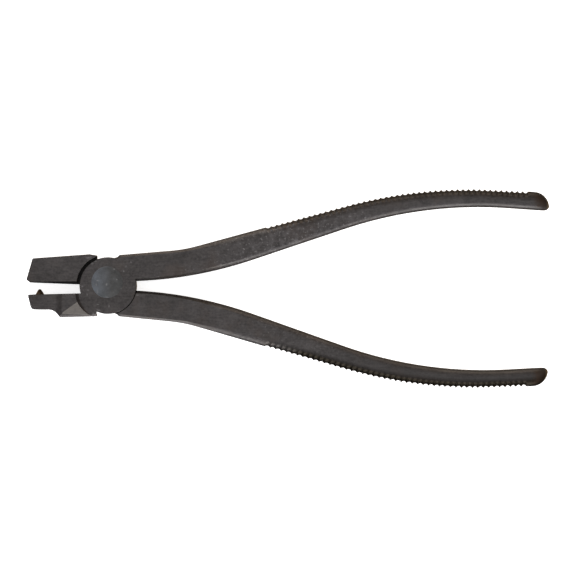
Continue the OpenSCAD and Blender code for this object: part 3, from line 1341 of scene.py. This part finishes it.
@dataclass
class Lever:
    """One forging: a half-lap disc, a handle and a jaw, bored for the rivet."""

    name: str
    node: str
    body: str
    joint: Joint
    handle: Handle
    jaw: UpperJaw | LowerJaw
    bore_clearance: float = 0.0
    turned_over: bool = False

    def build(self, oxide: bpy.types.Material, second: bpy.types.Material) -> bpy.types.Object:
        """Fuse the lever, bore it, lay it in place and dress it.

        Args:
            oxide: Finish of the forging.
            second: Finish of the jaw's ground facet, or the near-black painted shade on the upper jaw's
                steep bevel.

        Returns:
            The lever, riding on its body.
        """
        blank = self.joint.disc().work(Cut.FUSE, self.jaw.blank(), self.handle.blank())
        self.bore(blank)
        if self.turned_over:
            blank.moved(self.joint.flip)
        made = blank.piece(self.name, oxide, second)
        has_second = self.second_faces()
        for face in made.data.polygons:
            face.material_index = int(has_second(face))
        self.measure(made.data)
        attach(made, self.body)
        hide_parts(self.node)
        return made

    def bore(self, blank: Blank) -> None:
        """Bore the rivet's hole: a countersink in the open face, off the axis in the front lever.

        Args:
            blank: The forging.
        """
        joint, lip = self.joint, 0.1
        if self.turned_over:
            blank.work(Cut.REMOVE, joint.shank(self.bore_clearance, lip).moved(joint.flip))
            return
        head, t, edge = joint.rivet_head_r, joint.thickness, 0.06
        mouth = [(head, t - edge / 2), (head + edge, t), (head + edge, t + 1), (0, t + 1)]
        blank.work(Cut.REMOVE, joint.shank(self.bore_clearance, lip), joint.front_head(mouth))

    def measure(self, mesh: bpy.types.Mesh) -> None:
        """Store how far each point lies from the handle's outer edge, inner edge and end.

        Args:
            mesh: The lever's mesh, in place.
        """
        handle, far = self.handle, 10.0
        side = -1 if self.turned_over else 1
        layers = [mesh.attributes.new(value.value, "FLOAT", "POINT") for value in Carried]
        for vertex in mesh.vertices:
            x, y = vertex.co.x / MM, side * vertex.co.y / MM
            gaps = (far, far, far)
            if x > 0.6 * self.joint.disc_r:
                gaps = (handle.outer.at(x) - y, y - handle.inner.at(x), handle.reach - x)
            for layer, gap in zip(layers, gaps, strict=True):
                layer.data[vertex.index].value = gap

    def second_faces(self) -> Callable[[bpy.types.MeshPolygon], bool]:
        """Pick the faces of the second finish: the ground facet, or the upper jaw's steep bevel that takes
        the painted shade.

        Returns:
            A test for one face.
        """
        if isinstance(self.jaw, UpperJaw):
            start = -0.9 * self.joint.disc_r * MM

            def on_bevel(face: bpy.types.MeshPolygon) -> bool:
                """Tell whether a face lies on the steep bevel."""
                return face.center.x < start and face.normal.y < -0.75 and 0.3 < face.normal.z < 0.65

            return on_bevel
        place = self.jaw.facet_matrix()
        out, apex = place.to_3x3() @ up(1), place.translation * MM

        def on_facet(face: bpy.types.MeshPolygon) -> bool:
            """Tell whether a face lies on the ground facet."""
            return face.normal.dot(out) > 0.9995 and abs((face.center - apex).dot(out)) < 0.01 * MM

        return on_facet


@dataclass
class Rivet:
    """The rivet: a flush head at each end, the front one formed a little off the axis."""

    joint: Joint
    crown: float = 0.06

    def build(self, finish: bpy.types.Material) -> bpy.types.Object:
        """Turn the rivet and dress it.

        Args:
            finish: Finish of the rivet.

        Returns:
            The rivet, riding with the front lever.
        """
        head, t = self.joint.rivet_head_r - 0.02, self.joint.thickness
        shares = (1.0, 0.96, 0.88, 0.75, 0.6, 0.4, 0.2)
        crown = [(head * s, t + self.crown * (1 - s**4) - 0.05 * s**8) for s in shares]
        front = self.joint.front_head([*crown, (0, t + self.crown)])
        made = self.joint.shank(0.0, 0.0).work(Cut.FUSE, front).piece("rivet_formed", finish)
        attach(made, "front")
        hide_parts("pivot_rivet")
        return made


@dataclass
class Stud:
    """The hardened stud that starts the break: a round-nosed cone on the lower gripping face."""

    foot_r: float
    tip: Vector
    height: float = 2.0
    nose_r: float = 0.8
    slope: float = 1.8  # how far it leans with the gripping face, in degrees

    def build(self, finish: bpy.types.Material) -> bpy.types.Object:
        """Turn the stud and dress it.

        Args:
            finish: Finish of the stud.

        Returns:
            The stud, riding with the front lever.
        """
        angles = [math.radians(a) for a in (24, 34, 44, 54, 64, 74, 83)]
        nose = [(self.nose_r * math.cos(a), self.height - self.nose_r * (1 - math.sin(a))) for a in angles]
        taper = ((0.0, -0.3), (0.0, 0.0), (0.1, 0.15), (0.34, 0.65), (0.6, 1.1))
        foot = [(self.foot_r - narrower, z) for narrower, z in taper]
        blank = Blank.turned([(0, -0.3), *foot, *nose, (0, self.height)], sides=64)
        lean = Matrix.Rotation(math.radians(self.slope), 4, "Z") @ Matrix.Rotation(-math.pi / 2, 4, "X")
        centre = self.tip - Vector((0, self.height, 0))
        made = blank.moved(Matrix.Translation(centre) @ lean).piece("running_stud_pin", finish)
        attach(made, "front")
        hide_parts("running_stud")
        return made


# ---------------------------------------------------------------------------------------------
# Studio
# ---------------------------------------------------------------------------------------------


@dataclass(frozen=True)
class Lamp:
    """One soft square lamp that looks at the tool, with its place from the aim and side in metres."""

    name: str
    at: tuple[float, float, float]
    size: float
    watts: float
    tint: Colour

    def hang(self, aim: Vector) -> None:
        """Hang the lamp, out of the camera's sight.

        Args:
            aim: The point that it looks at.
        """
        data = bpy.data.lights.new(self.name, "AREA")
        data.size, data.energy, data.color = self.size, self.watts, self.tint
        made = bpy.data.objects.new(self.name, data)
        made.location = aim + Vector(self.at)
        made.rotation_euler = (-Vector(self.at)).to_track_quat("-Z", "Y").to_euler()
        made.visible_camera = False
        bpy.context.scene.collection.objects.link(made)


@dataclass
class Room:
    """The room round the tool, as light that depends on the direction it comes from."""

    near: Colour = (0.78, 0.78, 0.81)
    far: Colour = (0.80, 0.66, 0.54)
    dark_floor: Colour = (0.012, 0.011, 0.010)
    far_floor: Colour = (0.55, 0.43, 0.30)
    below: Colour = (0.62, 0.50, 0.38)
    world: bpy.types.World = field(init=False)
    tree: bpy.types.NodeTree = field(init=False)
    split: bpy.types.Node = field(init=False)

    def __post_init__(self) -> None:
        """Start an empty world with the direction of its light split into axes."""
        self.world = bpy.data.worlds.new("studio_room")
        self.world.use_nodes = True
        self.tree = self.world.node_tree
        place = self.tree.nodes.new("ShaderNodeTexCoord")
        self.split = self.tree.nodes.new("ShaderNodeSeparateXYZ")
        self.tree.links.new(place.outputs["Generated"], self.split.inputs[0])

    def fade(self, axis: str, ends: Span, first: Colour | Socket, second: Colour | Socket) -> Socket:
        """Blend from one light to another along an axis.

        Args:
            axis: The axis.
            ends: Where the blend starts and ends, as parts of a unit direction.
            first: The light before the start.
            second: The light past the end.

        Returns:
            The blended light.
        """
        ramp = self.tree.nodes.new("ShaderNodeMapRange")
        ramp.inputs["From Min"].default_value, ramp.inputs["From Max"].default_value = ends
        self.tree.links.new(self.split.outputs[axis], ramp.inputs["Value"])
        blend = self.tree.nodes.new("ShaderNodeMix")
        blend.data_type = "RGBA"
        self.tree.links.new(ramp.outputs["Result"], blend.inputs["Factor"])
        sockets = [socket for socket in blend.inputs if socket.type == "RGBA"]
        for socket, light in zip(sockets, (first, second), strict=True):
            if isinstance(light, tuple):
                socket.default_value = (*light, 1)
            else:
                self.tree.links.new(light, socket)
        return next(socket for socket in blend.outputs if socket.type == "RGBA")

    def build(self) -> None:
        """Light the room: pale on the near side, warm beyond the tool, dim under it."""
        above = self.fade("Y", (-0.15, 0.75), self.near, self.far)
        floor = self.fade("Y", (0.1, 0.7), self.dark_floor, self.far_floor)
        floor = self.fade("X", (0.1, 0.6), floor, self.far_floor)
        floor = self.fade("Z", (-0.72, -0.95), floor, self.below)
        colour = self.fade("Z", (0.15, -0.05), above, floor)
        self.tree.links.new(colour, self.tree.nodes["Background"].inputs["Color"])
        bpy.context.scene.world = self.world


@dataclass
class Studio:
    """A glowing white table, soft lamps round the tool, and a long lens straight above it."""

    aim: Vector
    floor_z: float
    view_width: float = 0.22395
    distance: float = 1.6
    roll: float = 0.46
    table_r: float = 4000.0
    table_t: float = 20.0
    lamps: tuple[Lamp, ...] = (
        Lamp("key_softbox", (0.05, -1.3, 0.5), 0.9, 24.0, (1.0, 0.99, 0.97)),
        Lamp("cool_rim", (-0.75, 0.95, 0.95), 0.5, 6.0, (0.80, 0.90, 1.0)),
        Lamp("overhead", (0.1, -0.1, 1.7), 1.3, 5.5, (1.0, 1.0, 1.0)),
        Lamp("warm_fill", (0.0, 1.3, 0.45), 0.9, 9.0, (1.0, 0.87, 0.72)),
    )

    def floor(self) -> None:
        """Lay a wide round table top just under the tool, kept out of the steel's reflections."""
        ring = [spoke * self.table_r for spoke in spokes(96)]
        top = Blank.skin([[p - up(self.table_t) for p in ring], ring])
        top.moved(Matrix.Translation(up(self.floor_z)))
        made = top.piece("studio_floor", PaleSweep().material("pale_sweep"))
        made.visible_glossy = made.visible_diffuse = False
        made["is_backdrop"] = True

    def light(self) -> None:
        """Hang the lamps and light the room."""
        for lamp in self.lamps:
            lamp.hang(self.aim)
        Room().build()
        bpy.context.scene.view_settings.view_transform = "Standard"

    def camera(self) -> None:
        """Look straight down with a long lens, turned a little to the tool's axis."""
        data = bpy.data.cameras.new("studio_camera")
        data.sensor_width = 36.0
        data.lens = 36.0 * self.distance / self.view_width
        data.clip_start, data.clip_end = 0.05, 50.0
        made = bpy.data.objects.new("studio_camera", data)
        made.location = self.aim + Vector((0, 0, self.distance))
        made.rotation_euler = (0, 0, math.radians(self.roll))
        bpy.context.scene.collection.objects.link(made)
        bpy.context.scene.camera = made


def main() -> None:
    """Build every piece from the frame, report it and set up the studio."""
    logging.basicConfig(level=logging.INFO, format="%(name)s: %(message)s")
    cad_box = [list(corner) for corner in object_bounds()]
    front_low, front_high = (Vector(c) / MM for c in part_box("front_lever"))
    back_low, _ = (Vector(c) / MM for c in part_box("back_lever"))
    rivet_low, rivet_high = (Vector(c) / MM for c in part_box("pivot_rivet"))
    stud_low, stud_high = (Vector(c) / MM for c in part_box("running_stud"))

    joint = Joint(thickness=rivet_high.z - rivet_low.z, proud=-front_low.z, rivet_head_r=rivet_high.x)
    handle = Handle(joint, reach=front_high.x, spread=front_high.y + 0.1)
    stud_r = (stud_high.z - stud_low.z) / 2
    stud_tip = Vector(((stud_low.x + stud_high.x) / 2, stud_high.y, joint.thickness / 2))

    upper, lower = UpperJaw(joint, -back_low.x), LowerJaw(joint, -front_low.x)
    back = Lever("lever_back", "back_lever", "back", joint, handle, upper, 0.05, turned_over=True)
    front = Lever("lever_front", "front_lever", "front", joint, handle, lower)
    made = [
        back.build(BACK_OXIDE.material("black_oxide_back"), SHADED_BEVEL_OXIDE.material("black_oxide_painted_shade")),
        front.build(FRONT_OXIDE.material("black_oxide_front"), GroundSteel().material("ground_steel")),
        Rivet(joint).build(RivetSteel().material("rivet_steel")),
        Stud(stud_r, stud_tip).build(TemperedSteel().material("tempered_steel")),
    ]
    for piece in made:
        LOG.info("%s: %d faces", piece.name, len(piece.data.polygons))

    low, high = (Vector(corner) for corner in cad_box)
    shift_x, shift_y = 0.000025, -0.00037
    aim = Vector(((low.x + high.x) / 2 + shift_x, (low.y + high.y) / 2 + shift_y, joint.thickness / 2 * MM))
    studio = Studio(aim=aim, floor_z=joint.low - 0.02)
    studio.floor()
    studio.light()
    studio.camera()
    LOG.info("studio: floor, lamps and camera")


if __name__ == "__main__":
    main()
